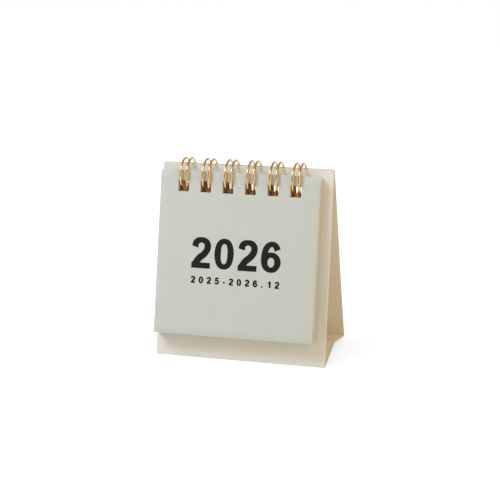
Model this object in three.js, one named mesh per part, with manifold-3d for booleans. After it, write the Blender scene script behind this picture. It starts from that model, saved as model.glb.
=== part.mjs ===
// Desk calendar: a small pad of leaves hangs on a twin-loop wire in front of a folded card stand.
// Millimetres, +Z up, the front faces -Y. The origin is on the table, under the middle of the calendar.
import * as THREE from 'three';
import * as BufferGeometryUtils from 'three/addons/utils/BufferGeometryUtils.js';
import Module from 'manifold-3d';

// Stand: one card, folded into a front panel, two base panels and a back panel
const standWidth = 64.5;
const panelHeight = 71.9;            // front panel, along its slope
const frontLean = THREE.MathUtils.degToRad(13.6);
const baseDepth = 33.8;
const baseRise = 3.5;                // the crease between the base panels stands this high
const cardThickness = 0.5;
const foldFlat = 0.6;                // strip under each bottom fold that lies on the table
const ridgeGap = 0.4;                // between the two free top edges

// Binding: one wire bent into pairs of loops, with its seam inside the stand
const pairCount = 6;
const pairPitch = 8.47;
const loopSpacing = 2.4;             // between the two wires of a pair
const wireDiameter = 0.8;
const ringRadius = 6.0;              // to the middle of the wire
const ringDrop = 4.5;                // from the stand's top edges down to the middle of the rings
const seamGap = 0.5;                 // free space between a loop's tip and the wire that it closes on
const bendRadius = 0.8;              // where a loop turns into the straight link to the next pair
const bindingOffset = -1.8;          // the binding and the pad sit left of the stand's middle

// Pad: a cover leaf over a block of inner leaves
const padWidth = 60.2;
const padHeight = 59.6;
const blockThickness = 2.4;
const coverThickness = 0.35;
const holeMargin = 3.6;              // from the pad's top edge to its holes

// Clearances
const layerGap = 0.3;                // panel to block, and block to cover
const holeEndGap = 0.25;             // above and below the wire in its holes
const holeSideGap = 0.4;             // beside the two wires in their holes

// Fineness of the round shapes
const wireSides = 8;
const loopSteps = 24;
const tipSteps = 6;
const bendSteps = 3;

// Places that follow from the sizes
const ridgeWidth = 2 * cardThickness + ridgeGap;
const wireRadius = wireDiameter / 2;
const frontTop = new THREE.Vector2(panelHeight * Math.sin(frontLean), panelHeight * Math.cos(frontLean));
const backTop = new THREE.Vector2(frontTop.x + ridgeWidth, frontTop.y);
const backLean = Math.atan2(baseDepth - backTop.x, backTop.y);
const ringCentre = new THREE.Vector2(frontTop.x + ridgeWidth / 2, frontTop.y - ringDrop);
const holeWidth = loopSpacing + wireDiameter + 2 * holeSideGap;
const pairPlaces = Array.from({ length: pairCount },
  (_, index) => bindingOffset + (index - (pairCount - 1) / 2) * pairPitch);

// The ring's middle as a leaning panel sees it: how far behind the face, how far down the slope
function ringFromPanel(lean) {
  return {
    behind: ridgeWidth / 2 * Math.cos(lean) + ringDrop * Math.sin(lean),
    below: ringDrop * Math.cos(lean) - ridgeWidth / 2 * Math.sin(lean),
  };
}

// Where the slanting wire cuts a sheet's face that lies this far from the ring's middle
function wireCut(distance) {
  const middle = Math.sqrt(ringRadius ** 2 - distance ** 2);
  const half = wireRadius * ringRadius / middle;
  return { top: middle - half, bottom: middle + half };
}

const frontRing = ringFromPanel(frontLean);
const backRing = ringFromPanel(backLean);
const coverFace = layerGap + blockThickness + layerGap + coverThickness;
const padHoleTop = frontRing.below + wireCut(frontRing.behind + coverFace).top - holeEndGap;
const padHoleBottom = frontRing.below + wireCut(frontRing.behind + layerGap).bottom + holeEndGap;
const holeHeight = padHoleBottom - padHoleTop;
const padTop = padHoleTop - holeMargin;

function material(name, color, roughness, metalness) {
  return new THREE.MeshStandardMaterial({ name, color, roughness, metalness });
}

const wasm = await Module();
wasm.setup();

function toSolid(geometry) {
  const bare = geometry.clone();
  bare.deleteAttribute('normal');
  bare.deleteAttribute('uv');
  const merged = BufferGeometryUtils.mergeVertices(bare);
  return new wasm.Manifold(new wasm.Mesh({
    numProp: 3,
    vertProperties: new Float32Array(merged.attributes.position.array),
    triVerts: new Uint32Array(merged.index.array),
  }));
}

function toGeometry(solid) {
  const mesh = solid.getMesh();
  const geometry = new THREE.BufferGeometry();
  geometry.setAttribute('position', new THREE.BufferAttribute(new Float32Array(mesh.vertProperties), 3));
  geometry.setIndex(new THREE.BufferAttribute(new Uint32Array(mesh.triVerts), 1));
  geometry.computeVertexNormals();
  return geometry;
}

// The point where two lines meet, each given by a point and a direction
function meeting(pointA, directionA, pointB, directionB) {
  const offset = pointB.clone().sub(pointA);
  return pointA.clone().addScaledVector(directionA, offset.cross(directionB) / directionA.cross(directionB));
}

// Side view of the folded card, as depth and height: down the front, along the base, up the back,
// and back along the inside, one card thickness in
function cardProfile() {
  const outside = [
    frontTop,
    new THREE.Vector2(0, 0),
    new THREE.Vector2(foldFlat, 0),
    new THREE.Vector2(baseDepth / 2, baseRise),
    new THREE.Vector2(baseDepth - foldFlat, 0),
    new THREE.Vector2(baseDepth, 0),
    backTop,
  ];
  const panels = [[0, 1], [2, 3], [3, 4], [5, 6]].map(([from, to]) => {
    const direction = outside[to].clone().sub(outside[from]).normalize();
    const inward = new THREE.Vector2(-direction.y, direction.x).multiplyScalar(cardThickness);
    return { direction, start: outside[from].clone().add(inward), end: outside[to].clone().add(inward) };
  });
  const corners = panels.slice(1).map((panel, index) => (
    meeting(panels[index].start, panels[index].direction, panel.start, panel.direction)));
  return new THREE.Shape([...outside, panels[3].end, ...corners.reverse(), panels[0].start]);
}

// A panel's own space: origin at its top edge, z up the slope, y into the stand on the front panel
function panelSpace(top, lean) {
  return new THREE.Matrix4().makeTranslation(0, top.x, top.y)
    .multiply(new THREE.Matrix4().makeRotationX(lean));
}

// The holes of one panel: the wire lies low in them, as the hanging pad pulls it down
function panelHoles(space, ring, inward) {
  const bottom = ring.below + wireCut(ring.behind - cardThickness).bottom + holeEndGap;
  return pairPlaces.map((place) => {
    const cutter = new THREE.BoxGeometry(holeWidth, 4 * cardThickness, holeHeight);
    cutter.translate(place, inward * cardThickness / 2, holeHeight / 2 - bottom);
    return cutter.applyMatrix4(space);
  });
}

// A piece cut by boxes
function cutPiece(name, geometry, cutters, finish) {
  const solid = cutters.reduce((rest, cutter) => rest.subtract(toSolid(cutter)), toSolid(geometry));
  const mesh = new THREE.Mesh(toGeometry(solid), finish);
  mesh.name = name;
  return mesh;
}

function standCard() {
  const card = new THREE.ExtrudeGeometry(cardProfile(), { depth: standWidth, bevelEnabled: false });
  card.translate(0, 0, -standWidth / 2);
  card.applyMatrix4(new THREE.Matrix4().makeBasis(
    new THREE.Vector3(0, 1, 0), new THREE.Vector3(0, 0, 1), new THREE.Vector3(1, 0, 0)));
  const cutters = [
    ...panelHoles(panelSpace(frontTop, -frontLean), frontRing, 1),
    ...panelHoles(panelSpace(backTop, backLean), backRing, -1),
  ];
  return cutPiece('stand_card', card, cutters, material('card', 0xd4d0c4, 0.9, 0));
}

// A punched leaf, or a block of them, in the front panel's space and this far in front of the panel
function punchedSheet(name, distance, thickness, colour) {
  const sheet = new THREE.BoxGeometry(padWidth, thickness, padHeight);
  const depth = -distance - thickness / 2;
  sheet.translate(bindingOffset, depth, -padTop - padHeight / 2);
  const cutters = pairPlaces.map((place) => (
    new THREE.BoxGeometry(holeWidth, 2 * thickness, holeHeight)
      .translate(place, depth, -padHoleTop - holeHeight / 2)));
  return cutPiece(name, sheet, cutters, material('paper', colour, 0.85, 0));
}

// The wire's way on the unrolled ring: across the binding, and round from the link that joins the pairs
function unrolledWire() {
  const half = loopSpacing / 2;
  const tipStart = 2 * Math.PI * ringRadius - wireDiameter - seamGap - half;
  const pieces = [];
  pairPlaces.forEach((place, index) => {
    const first = index === 0;
    const last = index === pairPlaces.length - 1;
    const rootLeft = first ? 0 : bendRadius;
    const rootRight = last ? 0 : bendRadius;
    pieces.push(new THREE.LineCurve(
      new THREE.Vector2(place - half, rootLeft), new THREE.Vector2(place - half, tipStart)).getPoints(loopSteps));
    pieces.push(new THREE.EllipseCurve(place, tipStart, half, half, Math.PI, 0, true).getPoints(tipSteps));
    pieces.push(new THREE.LineCurve(
      new THREE.Vector2(place + half, tipStart), new THREE.Vector2(place + half, rootRight)).getPoints(loopSteps));
    if (!last) {
      const turnOut = place + half + bendRadius;
      const turnIn = pairPlaces[index + 1] - half - bendRadius;
      pieces.push(new THREE.EllipseCurve(
        turnOut, bendRadius, bendRadius, bendRadius, Math.PI, 1.5 * Math.PI).getPoints(bendSteps));
      pieces.push(new THREE.EllipseCurve(
        turnIn, bendRadius, bendRadius, bendRadius, 1.5 * Math.PI, 2 * Math.PI).getPoints(bendSteps));
    }
  });
  return pieces.flat().filter((point, index, all) => index === 0 || point.distanceTo(all[index - 1]) > 1e-6);
}

// A way through given points, with a step at each of them
class PointRoute extends THREE.Curve {
  constructor(points) {
    super();
    this.points = points;
  }

  at(index) {
    return this.points[THREE.MathUtils.clamp(index, 0, this.points.length - 1)];
  }

  getPointAt(u, target = new THREE.Vector3()) {
    return target.copy(this.at(Math.round(u * (this.points.length - 1))));
  }

  getTangentAt(u, target = new THREE.Vector3()) {
    const index = Math.round(u * (this.points.length - 1));
    const arriving = this.at(index).clone().sub(this.at(index - 1)).normalize();
    const leaving = this.at(index + 1).clone().sub(this.at(index)).normalize();
    return target.copy(arriving.add(leaving).normalize());
  }
}

function bindingWire() {
  const seamLength = wireDiameter + seamGap + loopSpacing / 2;
  const linkAngle = seamLength / 2 / ringRadius;
  const route = unrolledWire().map((point) => {
    const angle = linkAngle + point.y / ringRadius;
    return new THREE.Vector3(point.x,
      ringCentre.x + ringRadius * Math.sin(angle), ringCentre.y - ringRadius * Math.cos(angle));
  });
  const section = Array.from({ length: wireSides }, (_, index) => {
    const angle = 2 * Math.PI * index / wireSides;
    return new THREE.Vector2(wireRadius * Math.cos(angle), wireRadius * Math.sin(angle));
  });
  const geometry = new THREE.ExtrudeGeometry(new THREE.Shape(section),
    { steps: route.length - 1, extrudePath: new PointRoute(route) });
  const mesh = new THREE.Mesh(geometry, material('wire', 0xc89a4a, 0.3, 0.9));
  mesh.name = 'binding_wire';
  return mesh;
}

const pad = new THREE.Group();
pad.applyMatrix4(panelSpace(frontTop, -frontLean));
pad.add(punchedSheet('page_block', layerGap, blockThickness, 0xe6e0d0));
pad.add(punchedSheet('cover_sheet', coverFace - coverThickness, coverThickness, 0xd0d0c4));

const calendar = new THREE.Group();
calendar.add(standCard(), pad, bindingWire());

// The origin goes under the middle of the whole calendar's box
calendar.updateMatrixWorld(true);
const middle = new THREE.Box3().setFromObject(calendar).getCenter(new THREE.Vector3());
calendar.position.set(-middle.x, -middle.y, 0);

export default calendar;
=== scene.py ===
# %% [markdown]
# # A small desk calendar
# The calendar is a folded card stand that carries a pad of square leaves on a gold twin-loop wire.
# The measured model gives the places and nearly every size. This file gives the pieces their fine
# shape and finish.

# %% Load the measured model
import math
import random

import bpy
from mathutils import Matrix, Vector


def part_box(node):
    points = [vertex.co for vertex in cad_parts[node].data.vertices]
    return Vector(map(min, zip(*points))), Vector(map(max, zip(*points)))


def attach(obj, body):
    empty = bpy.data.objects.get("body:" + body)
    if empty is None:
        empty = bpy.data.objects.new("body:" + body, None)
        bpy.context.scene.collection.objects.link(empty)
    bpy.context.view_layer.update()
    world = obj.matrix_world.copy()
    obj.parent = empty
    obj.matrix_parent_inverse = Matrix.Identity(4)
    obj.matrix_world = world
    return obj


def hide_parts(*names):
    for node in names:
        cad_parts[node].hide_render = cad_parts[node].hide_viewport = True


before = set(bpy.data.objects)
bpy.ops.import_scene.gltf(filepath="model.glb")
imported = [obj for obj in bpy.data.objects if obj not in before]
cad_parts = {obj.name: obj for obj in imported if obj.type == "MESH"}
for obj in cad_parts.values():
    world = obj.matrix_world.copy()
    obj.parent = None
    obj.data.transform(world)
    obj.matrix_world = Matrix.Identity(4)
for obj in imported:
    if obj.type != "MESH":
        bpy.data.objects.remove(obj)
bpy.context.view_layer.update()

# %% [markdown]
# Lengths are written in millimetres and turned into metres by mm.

mm = 0.001

# %% [markdown]
# ## Camera
# The photograph is taken from a little above and from the right, with a long lens held slightly off
# level. The camera is placed first, so that every later piece can be compared with the photograph.

# %% Camera
stand_low, stand_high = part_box("stand_card")
front_foot = Vector((0, stand_low.y, 0))
view_azimuth = math.radians(16.0)
view_elevation = math.radians(17.8)
view_roll = math.radians(-1.25)
view_distance = 555 * mm
lens_length = 108
sensor_width = 36
aim = front_foot + Vector((0.73, 15.1, 38.3)) * mm

forward = Vector((
    -math.sin(view_azimuth) * math.cos(view_elevation),
    math.cos(view_azimuth) * math.cos(view_elevation),
    -math.sin(view_elevation),
))
level_right = Vector((math.cos(view_azimuth), math.sin(view_azimuth), 0))
level_up = level_right.cross(forward)
right = level_right * math.cos(view_roll) + level_up * math.sin(view_roll)
up = level_up * math.cos(view_roll) - level_right * math.sin(view_roll)
turn = Matrix((right, up, -forward)).transposed()
bpy.ops.object.camera_add(location=aim - forward * view_distance, rotation=turn.to_euler())
camera = bpy.context.object
camera.data.lens = lens_length
camera.data.sensor_width = sensor_width
camera.data.clip_start = 0.01
bpy.context.scene.camera = camera
bpy.context.scene.view_settings.view_transform = "Standard"
print("camera at", [round(v, 3) for v in camera.location])

# %% [markdown]
# ## Modelling helpers
# Operators act on everything that is selected, so each step first clears the selection and then picks
# vertices by their place. A finished piece has its place in its mesh and its object at the origin.


# %% Helpers for selecting and finishing
def select_only(piece):
    """Makes this object the one selected and active object."""
    bpy.ops.object.select_all(action="DESELECT")
    piece.select_set(True)
    bpy.context.view_layer.objects.active = piece


def edit_where(piece, test):
    """Enters edit mode with exactly the vertices selected whose place passes the test."""
    select_only(piece)
    bpy.ops.object.mode_set(mode="EDIT")
    bpy.ops.mesh.select_mode(type="VERT")
    bpy.ops.mesh.select_all(action="DESELECT")
    bpy.ops.object.mode_set(mode="OBJECT")
    for vertex in piece.data.vertices:
        vertex.select = test(vertex.co)
    bpy.ops.object.mode_set(mode="EDIT")


def leave_edit():
    """Goes back to object mode."""
    bpy.ops.object.mode_set(mode="OBJECT")


def add_modifier(piece, kind, **settings):
    """Adds a modifier with these settings and applies it."""
    select_only(piece)
    modifier = piece.modifiers.new(kind.lower(), kind)
    for key, value in settings.items():
        setattr(modifier, key, value)
    bpy.ops.object.modifier_apply(modifier=modifier.name)


def smooth(piece, degrees):
    """Shades the piece smooth across edges flatter than this angle."""
    select_only(piece)
    bpy.ops.object.shade_smooth_by_angle(angle=math.radians(degrees))


def settle(piece, space=None):
    """Puts the piece into a space and moves that place into its mesh."""
    if space is not None:
        piece.matrix_world = space @ piece.matrix_world
    select_only(piece)
    bpy.ops.object.transform_apply(location=True, rotation=True, scale=True)


# %% [markdown]
# ## Lean of the stand
# The front panel and the back panel lean together like a tent. Each has its own space: the origin at
# its top edge, Z up its slope, and Y straight through it. Sheets are drawn lying down, and the turn
# called upright stands them in such a space. The wire ring has its middle under the ridge, and what
# hangs on the wire swings about that middle.

# %% Spaces of the two panels
front_lean = math.radians(13.6)
card_thickness = 0.5 * mm
ridge_width = 1.4 * mm
stand_width = stand_high.x - stand_low.x
front_top = Vector((0, stand_low.y + stand_high.z * math.tan(front_lean), stand_high.z))
back_top = front_top + Vector((0, ridge_width, 0))
back_lean = math.atan2(stand_high.y - back_top.y, back_top.z)
ring_drop = 4.5 * mm
ring_centre = front_top + Vector((0, ridge_width / 2, -ring_drop))
front_space = Matrix.Translation(front_top) @ Matrix.Rotation(-front_lean, 4, "X")
back_space = Matrix.Translation(back_top) @ Matrix.Rotation(back_lean, 4, "X")
upright = Matrix.Rotation(math.radians(90), 4, "X")
outward = front_space.to_3x3() @ Vector((0, -1, 0))
slope_up = front_space.to_3x3() @ Vector((0, 0, 1))
print("leans in degrees:", round(math.degrees(front_lean), 1), round(math.degrees(back_lean), 1))


def swung(angle):
    """A swing of this many degrees forward about the middle of the wire ring."""
    swing = Matrix.Rotation(math.radians(-angle), 4, "X")
    return Matrix.Translation(ring_centre) @ swing @ Matrix.Translation(-ring_centre)


# %% [markdown]
# ## Square holes
# Stand and leaves are punched with the same square tool. One cutter is a cube with softened upright
# corners, repeated along the binding by an Array modifier, and taken away with a Boolean. The walls of
# the holes get a second material with painted brown shade, so their faces are found by place and by
# looking across the sheet.

# %% Punch
hole_count = 6
hole_pitch = 8.47 * mm
hole_width = 4.0 * mm
hole_height = 4.15 * mm
hole_corner = 0.25 * mm
cutter_depth = 3 * mm
binding_offset = -1.8 * mm
first_hole = binding_offset - (hole_count - 1) / 2 * hole_pitch
walls_from = 58 * mm
walls_to = stand_high.z - 4 * mm


def punch(piece, space, hole_top):
    """Cuts the row of holes through a piece, with their tops this far below the space's origin."""
    bpy.ops.object.select_all(action="DESELECT")
    bpy.ops.mesh.primitive_cube_add(size=1)
    cutter = bpy.context.object
    bpy.ops.transform.resize(value=(hole_width, cutter_depth, hole_height))
    settle(cutter)
    bpy.ops.object.mode_set(mode="EDIT")
    bpy.ops.mesh.select_mode(type="EDGE")
    bpy.ops.mesh.select_all(action="DESELECT")
    leave_edit()
    for edge in cutter.data.edges:
        start, end = (cutter.data.vertices[index].co for index in edge.vertices)
        edge.select = abs(start.y - end.y) > cutter_depth / 2
    bpy.ops.object.mode_set(mode="EDIT")
    bpy.ops.mesh.bevel(offset=hole_corner, segments=2)
    leave_edit()
    bpy.ops.transform.translate(value=(first_hole, 0, -hole_top - hole_height / 2))
    settle(cutter)
    add_modifier(cutter, "ARRAY", count=hole_count, use_relative_offset=False,
                 use_constant_offset=True, constant_offset_displace=(hole_pitch, 0, 0))
    settle(cutter, space)
    add_modifier(piece, "BOOLEAN", operation="DIFFERENCE", solver="EXACT", object=cutter)
    bpy.data.objects.remove(cutter)


def paint_shade_on_hole_walls(piece):
    """Gives the walls of the holes the piece's second material, which paints brown shade on them."""
    half_row = hole_count * hole_pitch / 2
    walls = 0
    for face in piece.data.polygons:
        in_row = abs(face.center.x - binding_offset) < half_row
        at_height = walls_from < face.center.z < walls_to
        if in_row and at_height and abs(face.normal.dot(outward)) < 0.5:
            face.material_index = 1
            walls += 1
    print(piece.name, "faces on hole walls:", walls)


print("holes start at x in mm:", round(first_hole / mm, 2))

# %% [markdown]
# ## Paper is never flat
# Card and leaves take up damp air and wave a little. A Displace modifier with a soft cloud texture
# gives that wave, and a vertex group holds still what rests on the table.


# %% Wave
def grows(distance, start, span):
    """A share that is 0 up to the start and grows to 1 over the span."""
    return min(1, max(0, distance - start) / span)


def wave(piece, height, size, hold):
    """Moves the sheet's points gently along their normals, by a share that hold gives for a place."""
    group = piece.vertex_groups.new(name="free")
    for vertex in piece.data.vertices:
        group.add([vertex.index], hold(vertex.co), "REPLACE")
    texture = bpy.data.textures.new(piece.name + "_wave", "CLOUDS")
    texture.noise_scale = size
    texture.noise_depth = 1
    add_modifier(piece, "DISPLACE", texture=texture, strength=height, mid_level=0.5,
                 texture_coords="LOCAL", vertex_group="free")
    piece.vertex_groups.clear()


print("wave helper ready")

# %% [markdown]
# ## The folded stand
# The real stand is one strip of card with three creases. It is folded here the same way: a plane is
# the front panel, and its lower edge is extruded to the middle crease of the base, to the rear fold
# and up to the back's top edge. The folds are rounded by a bevel before the card gets its thickness.

# %% Fold the strip
base_crease_rise = 3.5 * mm
fold_radius = 0.5 * mm
fold_drop = 0.12 * mm
sheet_cuts = 19
panel_length = (front_top - front_foot).length
front_fold = Vector((0, stand_low.y, -fold_drop))
rear_fold = Vector((0, stand_high.y, -fold_drop))
base_crease = Vector((0, (stand_low.y + stand_high.y) / 2, base_crease_rise))

bpy.ops.object.select_all(action="DESELECT")
bpy.ops.mesh.primitive_plane_add(size=1)
card = bpy.context.object
card.name = "folded_card"
card.data.materials.append(None)
card.data.materials.append(None)
bpy.ops.transform.resize(value=(stand_width, panel_length, 1))
bpy.ops.transform.translate(value=(0, -panel_length / 2, 0))
settle(card)
settle(card, front_space @ upright)
edit_where(card, lambda place: place.z < stand_high.z / 2)
bpy.ops.transform.translate(value=(0, 0, -fold_drop))
for start, end in ((front_fold, base_crease), (base_crease, rear_fold), (rear_fold, back_top)):
    bpy.ops.mesh.extrude_region_move(TRANSFORM_OT_translate={"value": tuple(end - start)})
bpy.ops.mesh.select_all(action="SELECT")
bpy.ops.mesh.subdivide(number_cuts=sheet_cuts)
leave_edit()
print("folded strip:", len(card.data.polygons), "faces")

# %% [markdown]
# A card folded by hand has small round folds. The vertices near a fold line are picked and bevelled,
# the upright panels get their wave, and a Solidify modifier gives the card its thickness inwards. The
# new inner side takes the second of two material slots, which are filled later.

# %% Round the folds
card_wave = 0.5 * mm
card_wave_size = 26 * mm
card_held_to = 6 * mm
card_free_over = 25 * mm
fold_near = 0.2 * mm
folds = (front_fold, base_crease, rear_fold)


def fold_distance(place):
    """The distance from a place to the nearest fold, seen from the side."""
    return min(math.hypot(place.y - fold.y, place.z - fold.z) for fold in folds)


def near_fold(place):
    """True for a vertex that lies on a fold."""
    return fold_distance(place) < fold_near


edit_where(card, near_fold)
bpy.ops.mesh.bevel(offset=fold_radius, segments=3, affect="EDGES")
leave_edit()
wave(card, card_wave, card_wave_size,
     lambda place: grows(place.z, card_held_to, card_free_over))
add_modifier(card, "SOLIDIFY", thickness=card_thickness, offset=-1, use_even_offset=True,
             material_offset=1)
print("lowest point of the stand in mm:", round(min(v.co.z for v in card.data.vertices) / mm, 3))

# %% [markdown]
# The wire passes through both panels. The back leans a little less than the front, so its holes lie a
# trace lower on its slope.

# %% Punch the two top strips
front_hole_top = 6.59 * mm
back_hole_top = 6.64 * mm
punch(card, front_space, front_hole_top)
punch(card, back_space, back_hole_top)
paint_shade_on_hole_walls(card)
print("punched stand:", len(card.data.polygons), "faces")

# %% [markdown]
# A thin painted highlight runs along the creases, where the rounded folds catch the light. The nearness
# of the nearest crease is written on the mesh as an attribute, and the card's material turns it into a
# thin lighter line. A tiny bevel then breaks the cut edges, which would otherwise be sharper than card
# can be.

# %% Mark the creases
crease_reach = 1.1 * mm
card_edge = 0.06 * mm
creases = card.data.attributes.new("crease", "FLOAT", "POINT")
for vertex in card.data.vertices:
    creases.data[vertex.index].value = max(0.0, 1.0 - fold_distance(vertex.co) / crease_reach)
add_modifier(card, "BEVEL", width=card_edge, segments=1, limit_method="ANGLE",
             angle_limit=math.radians(50))
smooth(card, 35)
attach(card, "stand")
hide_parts("stand_card")
print("stand finished:", len(card.data.polygons), "faces")

# %% [markdown]
# ## The leaves
# A leaf is a thin sheet with six square holes. It is drawn as a plane, waved a little, given its
# thickness, stood in the front panel's space, punched, and swung forward about the wire. Its height is
# read from the photograph, where it is a little more than the 59.6 mm of the measured model.

# %% One punched leaf
pad_low, pad_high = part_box("page_block")
pad_width = pad_high.x - pad_low.x
pad_height = 60.3 * mm
pad_top = 2.78 * mm
pad_hole_top = 6.38 * mm
leaf_wave_size = 30 * mm
leaf_held_to = 12 * mm
leaf_free_over = 20 * mm


def punched_leaf(name, distance, thickness, wave_height, swing):
    """A leaf whose back lies this far in front of the stand's front panel, swung by some degrees."""
    bpy.ops.object.select_all(action="DESELECT")
    bpy.ops.mesh.primitive_plane_add(size=1)
    leaf = bpy.context.object
    leaf.name = name
    bpy.ops.transform.resize(value=(pad_width, pad_height, 1))
    bpy.ops.transform.translate(value=(binding_offset, -pad_top - pad_height / 2, distance))
    settle(leaf)
    bpy.ops.object.mode_set(mode="EDIT")
    bpy.ops.mesh.subdivide(number_cuts=sheet_cuts)
    leave_edit()
    wave(leaf, wave_height, leaf_wave_size,
         lambda place: grows(-place.y, leaf_held_to, leaf_free_over))
    add_modifier(leaf, "SOLIDIFY", thickness=thickness, offset=1, use_even_offset=True)
    settle(leaf, front_space @ upright)
    punch(leaf, front_space @ Matrix.Translation((0, -distance, 0)), pad_hole_top)
    paint_shade_on_hole_walls(leaf)
    settle(leaf, swung(swing))
    return leaf


print("pad width in mm:", round(pad_width / mm, 1))

# %% [markdown]
# The inner leaves are thin and never lie quite true on each other. The first one is copied, each copy
# with its own mesh, and slid by a tenth of a millimetre or so. Leaves hanging on a wire also stand a
# little further off the stand toward their lower end, so each copy is swung slightly further forward.

# %% Stack of inner leaves
leaf_count = 16
block_start = 0.3 * mm
block_thickness = 2.4 * mm
leaf_pitch = block_thickness / leaf_count
leaf_thickness = 0.11 * mm
leaf_wave = 0.2 * mm
leaf_slip = 0.1 * mm
pad_swing = 1.7
slips = random.Random(7)

first_leaf = punched_leaf("leaf_01", block_start, leaf_thickness, leaf_wave, 0)
leaves = [first_leaf]
for number in range(2, leaf_count + 1):
    select_only(first_leaf)
    bpy.ops.object.duplicate()
    leaf = bpy.context.object
    leaf.name = f"leaf_{number:02d}"
    sideways = Vector((slips.uniform(-1, 1), 0, 0)) * leaf_slip
    slip = sideways + slope_up * slips.uniform(-1, 1) * leaf_slip
    bpy.ops.transform.translate(value=outward * leaf_pitch * (number - 1) + slip)
    settle(leaf, swung(pad_swing * (number - 1) / leaf_count))
    leaves.append(leaf)
for leaf in leaves:
    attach(leaf, "stand")
    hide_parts("page_block")
print("inner leaves:", len(leaves), "with", len(first_leaf.data.polygons), "faces each")

# %% [markdown]
# ## The cover
# The cover is a single heavier leaf with a grained face. Its cut edges are softened by a small bevel,
# because a thick sheet shows a round edge where the cutter pressed it.

# %% Cover leaf
cover_start = 3.0 * mm
cover_thickness = 0.35 * mm
cover_wave = 0.25 * mm
cover_edge = 0.07 * mm
cover_swing = pad_swing + 0.2
cover = punched_leaf("cover_leaf", cover_start, cover_thickness, cover_wave, cover_swing)
add_modifier(cover, "BEVEL", width=cover_edge, segments=2, limit_method="ANGLE",
             angle_limit=math.radians(60))
smooth(cover, 35)
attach(cover, "cover")
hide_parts("cover_sheet")
print("cover:", len(cover.data.polygons), "faces")

# %% [markdown]
# ## The gold wire
# A twin-loop binding is one wire. Unrolled, it runs up one side of a loop, round the tip, down the
# other side and along a straight link to the next loop. Rolled round a circle, the tips close on the
# links inside the stand. The way is drawn flat first and then wrapped round the ring.

# %% Way of the wire
wire_thickness = 0.8 * mm
loop_spacing = 2.4 * mm
ring_radius = 6.0 * mm
seam_gap = 0.5 * mm
link_bend = 0.8 * mm
half_loop = loop_spacing / 2
tip_start = 2 * math.pi * ring_radius - wire_thickness - seam_gap - half_loop
link_angle = (wire_thickness + seam_gap + half_loop) / 2 / ring_radius
leg_steps = 60
tip_steps = 12
bend_steps = 5


def arc(middle_x, middle_y, radius, start, end, steps):
    """Points on a flat arc, from one angle to another in degrees."""
    angles = [math.radians(start + (end - start) * step / steps) for step in range(steps + 1)]
    return [(middle_x + radius * math.cos(a), middle_y + radius * math.sin(a)) for a in angles]


def leg(x, start, end):
    """Points up or down one side of a loop."""
    return [(x, start + (end - start) * step / leg_steps) for step in range(leg_steps + 1)]


flat_way = []
for number in range(hole_count):
    middle = first_hole + number * hole_pitch
    first, last = number == 0, number == hole_count - 1
    flat_way += leg(middle - half_loop, 0 if first else link_bend, tip_start)
    flat_way += arc(middle, tip_start, half_loop, 180, 0, tip_steps)[1:-1]
    flat_way += leg(middle + half_loop, tip_start, 0 if last else link_bend)
    if not last:
        bend_out = middle + half_loop + link_bend
        bend_in = middle + hole_pitch - half_loop - link_bend
        flat_way += arc(bend_out, link_bend, link_bend, 180, 270, bend_steps)[1:]
        flat_way += arc(bend_in, link_bend, link_bend, 270, 360, bend_steps)[:-1]
print("points along the wire:", len(flat_way))

# %% [markdown]
# Each flat point keeps its place across the binding, and its length along the loop becomes an angle
# round the ring. A path curve through these points gets a round bevel, and is then made a mesh.

# %% Roll the wire round the ring
bpy.ops.object.select_all(action="DESELECT")
bpy.ops.curve.primitive_nurbs_path_add()
wire = bpy.context.object
wire.name = "gold_wire"
wire.data.splines.clear()
line = wire.data.splines.new("POLY")
line.points.add(len(flat_way) - 1)
for point, (across, around) in zip(line.points, flat_way):
    angle = link_angle + around / ring_radius
    point.co = (across, ring_centre.y + ring_radius * math.sin(angle),
                ring_centre.z - ring_radius * math.cos(angle), 1)
wire.data.bevel_depth = wire_thickness / 2
wire.data.bevel_resolution = 3
wire.data.use_fill_caps = True
select_only(wire)
bpy.ops.object.convert(target="MESH")
wire = bpy.context.object
settle(wire)
smooth(wire, 60)
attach(wire, "stand")
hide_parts("binding_wire")
print("wire:", len(wire.data.polygons), "faces")

# %% [markdown]
# ## Printed numbers
# The cover carries plain numbers: a year, and under it a span of months. A sturdy grotesque digit has
# nearly even strokes, so each digit is drawn like handwriting: a curve through a few points, swept
# with a flat nib. The width given at each point makes the sides heavier than the top and bottom.

# %% Nib and strokes
bpy.ops.object.select_all(action="DESELECT")
bpy.ops.curve.primitive_bezier_curve_add()
nib = bpy.context.object
nib.data.splines.clear()
edge = nib.data.splines.new("POLY")
edge.points.add(1)
edge.points[0].co = (-0.5, 0, 0, 1)
edge.points[1].co = (0.5, 0, 0, 1)

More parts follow.
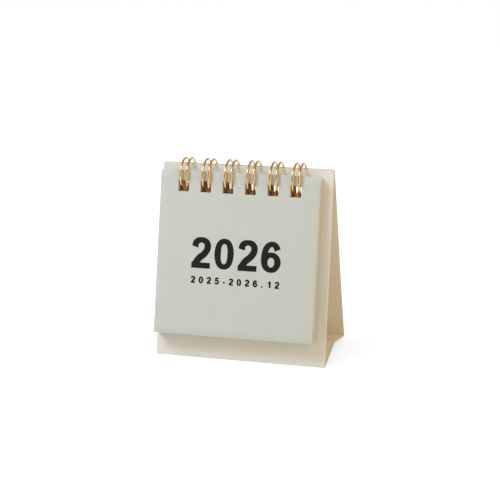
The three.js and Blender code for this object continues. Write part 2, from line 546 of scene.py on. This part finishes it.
# Each stroke is a list of points (across, up, width) in digit heights, and whether it closes.
STROKES = {
    "0": [([(0.11, 0.5, 0.2), (0.33, 0.92, 0.155), (0.55, 0.5, 0.2), (0.33, 0.08, 0.155)], True)],
    "1": [([(0.40, 0.0, 0.195), (0.40, 0.5, 0.195), (0.40, 1.0, 0.195)], False),
          ([(0.12, 0.735, 0.15), (0.27, 0.80, 0.15), (0.38, 0.95, 0.12)], False)],
    "2": [([(0.125, 0.69, 0.2), (0.17, 0.85, 0.19), (0.34, 0.92, 0.16), (0.51, 0.85, 0.19),
            (0.555, 0.69, 0.2), (0.47, 0.50, 0.2), (0.26, 0.30, 0.2), (0.14, 0.12, 0.2)], False),
          ([(0.02, 0.085, 0.17), (0.33, 0.085, 0.17), (0.655, 0.085, 0.17)], False)],
    "5": [([(0.16, 0.915, 0.17), (0.38, 0.915, 0.17), (0.61, 0.915, 0.17)], False),
          ([(0.20, 0.96, 0.17), (0.17, 0.70, 0.17), (0.135, 0.44, 0.17)], False),
          ([(0.12, 0.50, 0.14), (0.32, 0.575, 0.16), (0.50, 0.50, 0.19), (0.555, 0.33, 0.2),
            (0.49, 0.15, 0.19), (0.31, 0.08, 0.16), (0.16, 0.13, 0.18), (0.11, 0.27, 0.19)], False)],
    "6": [([(0.115, 0.33, 0.2), (0.34, 0.57, 0.155), (0.555, 0.33, 0.2), (0.34, 0.08, 0.155)], True),
          ([(0.54, 0.73, 0.19), (0.48, 0.86, 0.18), (0.35, 0.92, 0.155), (0.20, 0.83, 0.18),
            (0.125, 0.64, 0.19), (0.11, 0.36, 0.2)], False)],
    "-": [([(0.05, 0.34, 0.17), (0.2, 0.34, 0.17), (0.35, 0.34, 0.17)], False)],
    ".": [([(0.06, 0.095, 0.19), (0.15, 0.095, 0.19), (0.25, 0.095, 0.19)], False)],
}
print("digits drawn:", " ".join(STROKES))

# %% [markdown]
# A stroke is a Bezier curve. Its points carry the width as their radius, the nib is its bevel object,
# and the result is a flat ribbon.


# %% Draw one stroke
def draw_stroke(points, closed, left, base, height, weight):
    """A flat ribbon through the points, as a mesh in the XY plane."""
    bpy.ops.object.select_all(action="DESELECT")
    bpy.ops.curve.primitive_bezier_curve_add()
    stroke = bpy.context.object
    stroke.data.dimensions = "2D"
    stroke.data.splines.clear()
    spline = stroke.data.splines.new("BEZIER")
    spline.bezier_points.add(len(points) - 1)
    for knot, (across, rise, width) in zip(spline.bezier_points, points):
        knot.co = (left + across * height, base + rise * height, 0)
        knot.handle_left_type = knot.handle_right_type = "AUTO"
        knot.radius = width * height * weight
    spline.use_cyclic_u = closed
    spline.resolution_u = 8
    stroke.data.bevel_mode = "OBJECT"
    stroke.data.bevel_object = nib
    select_only(stroke)
    bpy.ops.object.convert(target="MESH")
    return bpy.context.object


print("pen ready")

# %% [markdown]
# The numbers are set letter by letter in front of the cover. A Shrinkwrap modifier lays each stroke on
# the waved sheet, lifted by a few hundredths of a millimetre, as a printed layer of ink lies. A second
# stroke of a digit lies a little higher than the first, so that they never share one plane.

# %% Set the numbers
ink_lift = 0.02 * mm
drawing_gap = 2 * mm


def print_line(name, text, left, base, height, weight, advances):
    """One printed line: its left end and base line on the cover, digit height, weight and advances."""
    before_cover = Matrix.Translation((0, -cover_start - drawing_gap, 0))
    drawing_place = swung(cover_swing) @ front_space @ before_cover @ upright
    parts = []
    place = left
    for letter in text:
        for layer, (points, closed) in enumerate(STROKES[letter]):
            part = draw_stroke(points, closed, place, base, height, weight)
            settle(part, drawing_place)
            add_modifier(part, "SHRINKWRAP", target=cover, wrap_method="NEAREST_SURFACEPOINT",
                         wrap_mode="ABOVE_SURFACE", offset=ink_lift * (1 + layer / 2))
            parts.append(part)
        place += advances.get(letter, advances["digit"])
    bpy.ops.object.select_all(action="DESELECT")
    for part in parts:
        part.select_set(True)
    bpy.context.view_layer.objects.active = parts[0]
    bpy.ops.object.join()
    printed = bpy.context.object
    printed.name = name
    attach(printed, "cover")
    return printed


year_height = 11.2 * mm
year = print_line("year_number", "2026", left=-18.8 * mm, base=-38.2 * mm, height=year_height,
                  weight=1.1, advances={"digit": 0.79 * year_height})
span_height = 2.4 * mm
span_advances = {"digit": 3.04 * mm, "-": 2.34 * mm, ".": 2.34 * mm, "1": 2.84 * mm}
span = print_line("month_span", "2025-2026.12", left=-18.45 * mm, base=-43.8 * mm,
                  height=span_height, weight=1.45, advances=span_advances)
bpy.data.objects.remove(nib)
print("ink faces:", len(year.data.polygons) + len(span.data.polygons))

# %% [markdown]
# ## Paper grain
# The card and the leaves are uncoated paper. Close up they show a soft felt of fibres, a faint laid
# grain in both directions and a slightly uneven tone. One node group holds this, and each material
# places it with its own colour and strengths.


# %% Node helpers
def new_group(name, inputs, outputs):
    """An empty shader node group with named sockets, and its input and output nodes."""
    group = bpy.data.node_groups.new(name, "ShaderNodeTree")
    for label, kind, value in inputs:
        socket = group.interface.new_socket(label, in_out="INPUT", socket_type=kind)
        socket.default_value = value
    for label, kind in outputs:
        group.interface.new_socket(label, in_out="OUTPUT", socket_type=kind)
    return group, group.nodes.new("NodeGroupInput"), group.nodes.new("NodeGroupOutput")


def add_node(tree, kind, links=(), **settings):
    """Adds a node, sets its properties and wires (socket to socket name) pairs into it."""
    node = tree.nodes.new(kind)
    for key, value in settings.items():
        setattr(node, key, value)
    for source, target in links:
        if isinstance(source, bpy.types.NodeSocket):
            tree.links.new(source, node.inputs[target])
        else:
            node.inputs[target].default_value = source
    return node


def maths(tree, operation, first, second):
    """A Math node of two values or sockets."""
    return add_node(tree, "ShaderNodeMath", ((first, 0), (second, 1)), operation=operation).outputs[0]


def noise(tree, place, scale, detail, roughness=0.5):
    """A Noise texture read at a place. Its value runs from 0 to 1."""
    links = ((place, "Vector"), (scale, "Scale"), (detail, "Detail"), (roughness, "Roughness"))
    return add_node(tree, "ShaderNodeTexNoise", links).outputs[0]


def mixed_colour(tree, share, first, second):
    """A colour between two others, by a share."""
    links = ((share, 0), (first, 6), (second, 7))
    return add_node(tree, "ShaderNodeMix", links, data_type="RGBA").outputs[2]


print("node helpers ready")

# %% Paper grain group
fibre_scale = 2600.0
laid_close = 3600
laid_long = 500
cloud_scale = 120.0

grain, grain_in, grain_out = new_group(
    "paper_grain",
    (("Colour", "NodeSocketColor", (0.6, 0.6, 0.53, 1)),
     ("Shade", "NodeSocketColor", (0.5, 0.47, 0.4, 1)),
     ("Mottle", "NodeSocketFloat", 0.3), ("Laid", "NodeSocketFloat", 0.5)),
    (("Colour", "NodeSocketColor"), ("Roughness", "NodeSocketFloat"), ("Height", "NodeSocketFloat")),
)
place = add_node(grain, "ShaderNodeTexCoord").outputs["Object"]
fibre = noise(grain, place, fibre_scale, 4.0, 0.65)
across = add_node(grain, "ShaderNodeMapping",
                  ((place, "Vector"), ((laid_long, laid_long, laid_close), "Scale")))
weft = noise(grain, across.outputs[0], 1.0, 2.0)
along = add_node(grain, "ShaderNodeMapping",
                 ((place, "Vector"), ((laid_close, laid_long, laid_long), "Scale")))
warp = noise(grain, along.outputs[0], 1.0, 2.0)
laid = maths(grain, "MULTIPLY", maths(grain, "ADD", weft, warp), grain_in.outputs["Laid"])
height = maths(grain, "ADD", fibre, laid)
cloud = noise(grain, place, cloud_scale, 3.0)
patch = maths(grain, "ADD", maths(grain, "MULTIPLY", cloud, 0.6),
              maths(grain, "MULTIPLY", height, 0.35))
share = maths(grain, "MULTIPLY", patch, grain_in.outputs["Mottle"])
tone = mixed_colour(grain, share, grain_in.outputs["Colour"], grain_in.outputs["Shade"])
grain.links.new(tone, grain_out.inputs["Colour"])
rough = maths(grain, "ADD", maths(grain, "MULTIPLY", fibre, 0.15), 0.78)
grain.links.new(rough, grain_out.inputs["Roughness"])
grain.links.new(height, grain_out.inputs["Height"])
print("paper grain:", len(grain.nodes), "nodes")

# %% [markdown]
# The painted highlight along the creases is uneven, so the crease attribute is multiplied by a noise
# before it lightens the card.

# %% Painted crease highlight group
highlight_noise_scale = 900.0

highlight, highlight_in, highlight_out = new_group(
    "painted_crease_highlight",
    (("Colour", "NodeSocketColor", (0.6, 0.6, 0.5, 1)),
     ("Highlight", "NodeSocketColor", (0.8, 0.78, 0.7, 1)),
     ("Amount", "NodeSocketFloat", 0.6)),
    (("Colour", "NodeSocketColor"),),
)
mark = add_node(highlight, "ShaderNodeAttribute", attribute_name="crease").outputs["Fac"]
uneven = noise(highlight, add_node(highlight, "ShaderNodeTexCoord").outputs["Object"], highlight_noise_scale, 3.0)
painted_highlight = maths(highlight, "MULTIPLY", maths(highlight, "MULTIPLY", mark, uneven), highlight_in.outputs["Amount"])
highlighted = mixed_colour(highlight, painted_highlight, highlight_in.outputs["Colour"], highlight_in.outputs["Highlight"])
highlight.links.new(highlighted, highlight_out.inputs["Colour"])
print("crease wear:", len(highlight.nodes), "nodes")

# %% [markdown]
# ## Materials
# Paper is rough and soft, with a fine bump. The card of the stand is a little warmer than the cover, and
# the inner leaves are a creamier stock. The inside of the stand is painted lighter and warmer than its
# outside, as painted bounce light. The square holes look brown inside, where there is only shade, so
# painted brown shade lines the inside of the stand near the ridge and the walls of the holes.

# %% Paper materials
# Painted brown shade covers the inside of the stand above this height and this far to each side of the
# binding.
painted_shade_edge = 57 * mm
painted_shade_reach = 24.5 * mm
paper_relief = 0.12 * mm


def paper_material(name, colour, shade, mottle, laid, bump, painted_highlight=None, painted_shade=None):
    """An uncoated paper from the grain group, with a painted highlight on the creases or painted brown
    shade near the ridge if given.
    """
    made = bpy.data.materials.new(name)
    made.use_nodes = True
    tree = made.node_tree
    shader = tree.nodes["Principled BSDF"]
    paper = add_node(tree, "ShaderNodeGroup", node_tree=grain)
    paper.inputs["Colour"].default_value = colour
    paper.inputs["Shade"].default_value = shade
    paper.inputs["Mottle"].default_value = mottle
    paper.inputs["Laid"].default_value = laid
    surface = paper.outputs["Colour"]
    # Painted highlight along the creases.
    if painted_highlight:
        lines = add_node(tree, "ShaderNodeGroup", node_tree=highlight)
        tree.links.new(surface, lines.inputs["Colour"])
        lines.inputs["Highlight"].default_value = painted_highlight
        surface = lines.outputs["Colour"]
    # Painted brown shade near the ridge, seen through the holes.
    if painted_shade:
        spot = add_node(tree, "ShaderNodeTexCoord").outputs["Object"]
        split = add_node(tree, "ShaderNodeSeparateXYZ", ((spot, 0),))
        high = maths(tree, "GREATER_THAN", split.outputs["Z"], painted_shade_edge)
        aside = maths(tree, "ABSOLUTE", maths(tree, "SUBTRACT", split.outputs["X"], binding_offset), 0.0)
        painted_shade_share = maths(tree, "MULTIPLY", high, maths(tree, "LESS_THAN", aside, painted_shade_reach))
        surface = mixed_colour(tree, painted_shade_share, surface, painted_shade)
    relief = add_node(tree, "ShaderNodeBump", ((paper.outputs["Height"], "Height"), (bump, "Strength"),
                                               (paper_relief, "Distance")))
    tree.links.new(surface, shader.inputs["Base Color"])
    tree.links.new(paper.outputs["Roughness"], shader.inputs["Roughness"])
    tree.links.new(relief.outputs[0], shader.inputs["Normal"])
    shader.inputs["Specular IOR Level"].default_value = 0.25
    return made


# The colour of the painted brown shade in the holes and inside the stand.
painted_shade_brown = (0.62, 0.33, 0.19, 1)
cover_paper = paper_material("grained_cover", colour=(0.60, 0.62, 0.565, 1),
                             shade=(0.53, 0.53, 0.475, 1), mottle=0.5, laid=0.6, bump=0.6)
# The lighter colour on the creases of the stand is a painted highlight.
stand_paper = paper_material("stand_card_stock", colour=(0.80, 0.78, 0.70, 1),
                             shade=(0.71, 0.68, 0.59, 1), mottle=0.5, laid=0.6, bump=0.6,
                             painted_highlight=(0.92, 0.90, 0.82, 1))
# The inside of the stand is painted lighter and warmer than the outside card, as painted bounce light,
# with painted brown shade near the ridge.
inside_card_painted_light = paper_material("stand_card_inside_painted_light", colour=(0.90, 0.83, 0.69, 1),
                             shade=(0.84, 0.76, 0.60, 1), mottle=0.5, laid=0.6, bump=0.6,
                             painted_highlight=(0.94, 0.90, 0.80, 1), painted_shade=painted_shade_brown)
leaf_paper = paper_material("cream_leaf", colour=(0.80, 0.76, 0.65, 1), shade=(0.72, 0.67, 0.55, 1),
                            mottle=0.4, laid=0.2, bump=0.3)
hole_wall_painted_shade = paper_material("painted_shade_hole_wall", colour=painted_shade_brown, shade=(0.40, 0.20, 0.11, 1),
                            mottle=0.5, laid=0.2, bump=0.3)
card.data.materials[0] = stand_paper
card.data.materials[1] = inside_card_painted_light
cover.data.materials.append(cover_paper)
cover.data.materials.append(hole_wall_painted_shade)
for leaf in leaves:
    leaf.data.materials.append(leaf_paper)
    leaf.data.materials.append(hole_wall_painted_shade)
print("paper on", 2 + len(leaves), "pieces")

# %% [markdown]
# Black ink sinks into the grain, so it is nearly as rough as the paper and shows the same relief. Its
# specular level is low, because a stronger sheen would turn the black grey.

# %% Ink material
ink_relief_depth = 0.04 * mm
ink = bpy.data.materials.new("black_ink")
ink.use_nodes = True
ink_tree = ink.node_tree
ink_shader = ink_tree.nodes["Principled BSDF"]
ink_grain = add_node(ink_tree, "ShaderNodeGroup", node_tree=grain)
ink_grain.inputs["Colour"].default_value = (0.009, 0.009, 0.008, 1)
ink_grain.inputs["Shade"].default_value = (0.02, 0.02, 0.017, 1)
ink_grain.inputs["Mottle"].default_value = 0.8
ink_relief = add_node(ink_tree, "ShaderNodeBump", ((ink_grain.outputs["Height"], "Height"),
                                                   (0.4, "Strength"), (ink_relief_depth, "Distance")))
ink_tree.links.new(ink_grain.outputs["Colour"], ink_shader.inputs["Base Color"])
ink_tree.links.new(ink_relief.outputs[0], ink_shader.inputs["Normal"])
ink_shader.inputs["Roughness"].default_value = 0.6
ink_shader.inputs["Specular IOR Level"].default_value = 0.1
for printed in (year, span):
    printed.data.materials.append(ink)
print("ink on two lines")

# %% [markdown]
# The wire is a bright gold metal. Its colour shifts a little along its length where the plating is
# thicker or rubbed, and its surface has the fine draw marks of wire.

# %% Gold wire material
patch_scale = 420.0
draw_scale = 5000.0
draw_depth = 0.02 * mm
thin_gold = (0.50, 0.26, 0.07, 1)
thick_gold = (0.84, 0.55, 0.18, 1)
gold = bpy.data.materials.new("gold_wire_metal")
gold.use_nodes = True
gold_tree = gold.node_tree
gold_shader = gold_tree.nodes["Principled BSDF"]
gold_place = add_node(gold_tree, "ShaderNodeTexCoord").outputs["Object"]
rub = noise(gold_tree, gold_place, patch_scale, 3.0)
tint = mixed_colour(gold_tree, rub, thin_gold, thick_gold)
draw_marks = noise(gold_tree, gold_place, draw_scale, 2.0)
gold_rough = maths(gold_tree, "ADD", maths(gold_tree, "MULTIPLY", rub, 0.12), 0.14)
gold_relief = add_node(gold_tree, "ShaderNodeBump", ((draw_marks, "Height"), (0.15, "Strength"),
                                                     (draw_depth, "Distance")))
gold_tree.links.new(tint, gold_shader.inputs["Base Color"])
gold_tree.links.new(gold_rough, gold_shader.inputs["Roughness"])
gold_tree.links.new(gold_relief.outputs[0], gold_shader.inputs["Normal"])
gold_shader.inputs["Metallic"].default_value = 1.0
wire.data.materials.append(gold)
print("gold wire material ready")

# %% [markdown]
# ## Floor and light
# The calendar stands on a pale floor. Where the camera or a reflection sees the floor, a little light
# of its own brings it up to white, and it still shows the calendar's soft shadow.

# %% Floor
floor_size = 6
floor_glow = 0.64

bpy.ops.object.select_all(action="DESELECT")
bpy.ops.mesh.primitive_plane_add(size=floor_size)
floor = bpy.context.object
floor.name = "floor"
floor_paint = bpy.data.materials.new("pale_floor")
floor_paint.use_nodes = True
floor_tree = floor_paint.node_tree
floor_shader = floor_tree.nodes["Principled BSDF"]
floor_shader.inputs["Base Color"].default_value = (0.84, 0.83, 0.81, 1)
floor_shader.inputs["Roughness"].default_value = 0.9
rays = add_node(floor_tree, "ShaderNodeLightPath")
seen = maths(floor_tree, "MAXIMUM", rays.outputs["Is Camera Ray"], rays.outputs["Is Glossy Ray"])
glow = maths(floor_tree, "MULTIPLY", seen, floor_glow)
floor_shader.inputs["Emission Color"].default_value = (0.75, 0.87, 1.0, 1)
floor_tree.links.new(glow, floor_shader.inputs["Emission Strength"])
floor.data.materials.append(floor_paint)
print("floor laid")

# %% [markdown]
# The world lights the calendar evenly in a warm tone, which gives the shadows their tan colour. The
# camera sees plain white in its place, and the gold reflects the warm tone.

# %% World
world = bpy.data.worlds.new("soft_room")
bpy.context.scene.world = world
world.use_nodes = True
sky = world.node_tree
background = sky.nodes["Background"]
background.inputs["Color"].default_value = (1.0, 0.87, 0.72, 1)
background.inputs["Strength"].default_value = 0.56
white = add_node(sky, "ShaderNodeBackground", (((1, 1, 1, 1), "Color"), (1.0, "Strength")))
sky_rays = add_node(sky, "ShaderNodeLightPath")
plain = maths(sky, "MAXIMUM", sky_rays.outputs["Is Camera Ray"],
              sky_rays.outputs["Is Transmission Ray"])
choice = add_node(sky, "ShaderNodeMixShader",
                  ((plain, 0), (background.outputs[0], 1), (white.outputs[0], 2)))
sky.links.new(choice.outputs[0], sky.nodes["World Output"].inputs["Surface"])
print("world strength", background.inputs["Strength"].default_value)

# %% [markdown]
# A cool soft lamp, high and to the left, lays the pad's shadow to the right and down the front panel.
# A weaker warm one, low and to the right, reaches the inside of the stand through its open side.

# %% Two lamps
lamp_distance = 0.6
lamp_aim = Vector((0, 0, 35 * mm))


def soft_lamp(name, azimuth, elevation, size, energy, colour):
    """A square lamp that looks at the calendar from this direction, given in degrees."""
    aside, above = math.radians(azimuth), math.radians(elevation)
    toward = Vector((math.sin(aside) * math.cos(above), -math.cos(aside) * math.cos(above),
                     math.sin(above)))
    bpy.ops.object.light_add(type="AREA", location=lamp_aim + toward * lamp_distance,
                             rotation=(-toward).to_track_quat("-Z", "Y").to_euler())
    lamp = bpy.context.object
    lamp.name = name
    lamp.data.size = size
    lamp.data.energy = energy
    lamp.data.color = colour
    print(name, "at", [round(v, 2) for v in lamp.location])


soft_lamp("key_lamp", azimuth=-56, elevation=50, size=0.26, energy=2.75, colour=(0.68, 0.84, 1.0))
soft_lamp("warm_lamp", azimuth=75, elevation=8, size=0.4, energy=1.5, colour=(1.0, 0.80, 0.56))
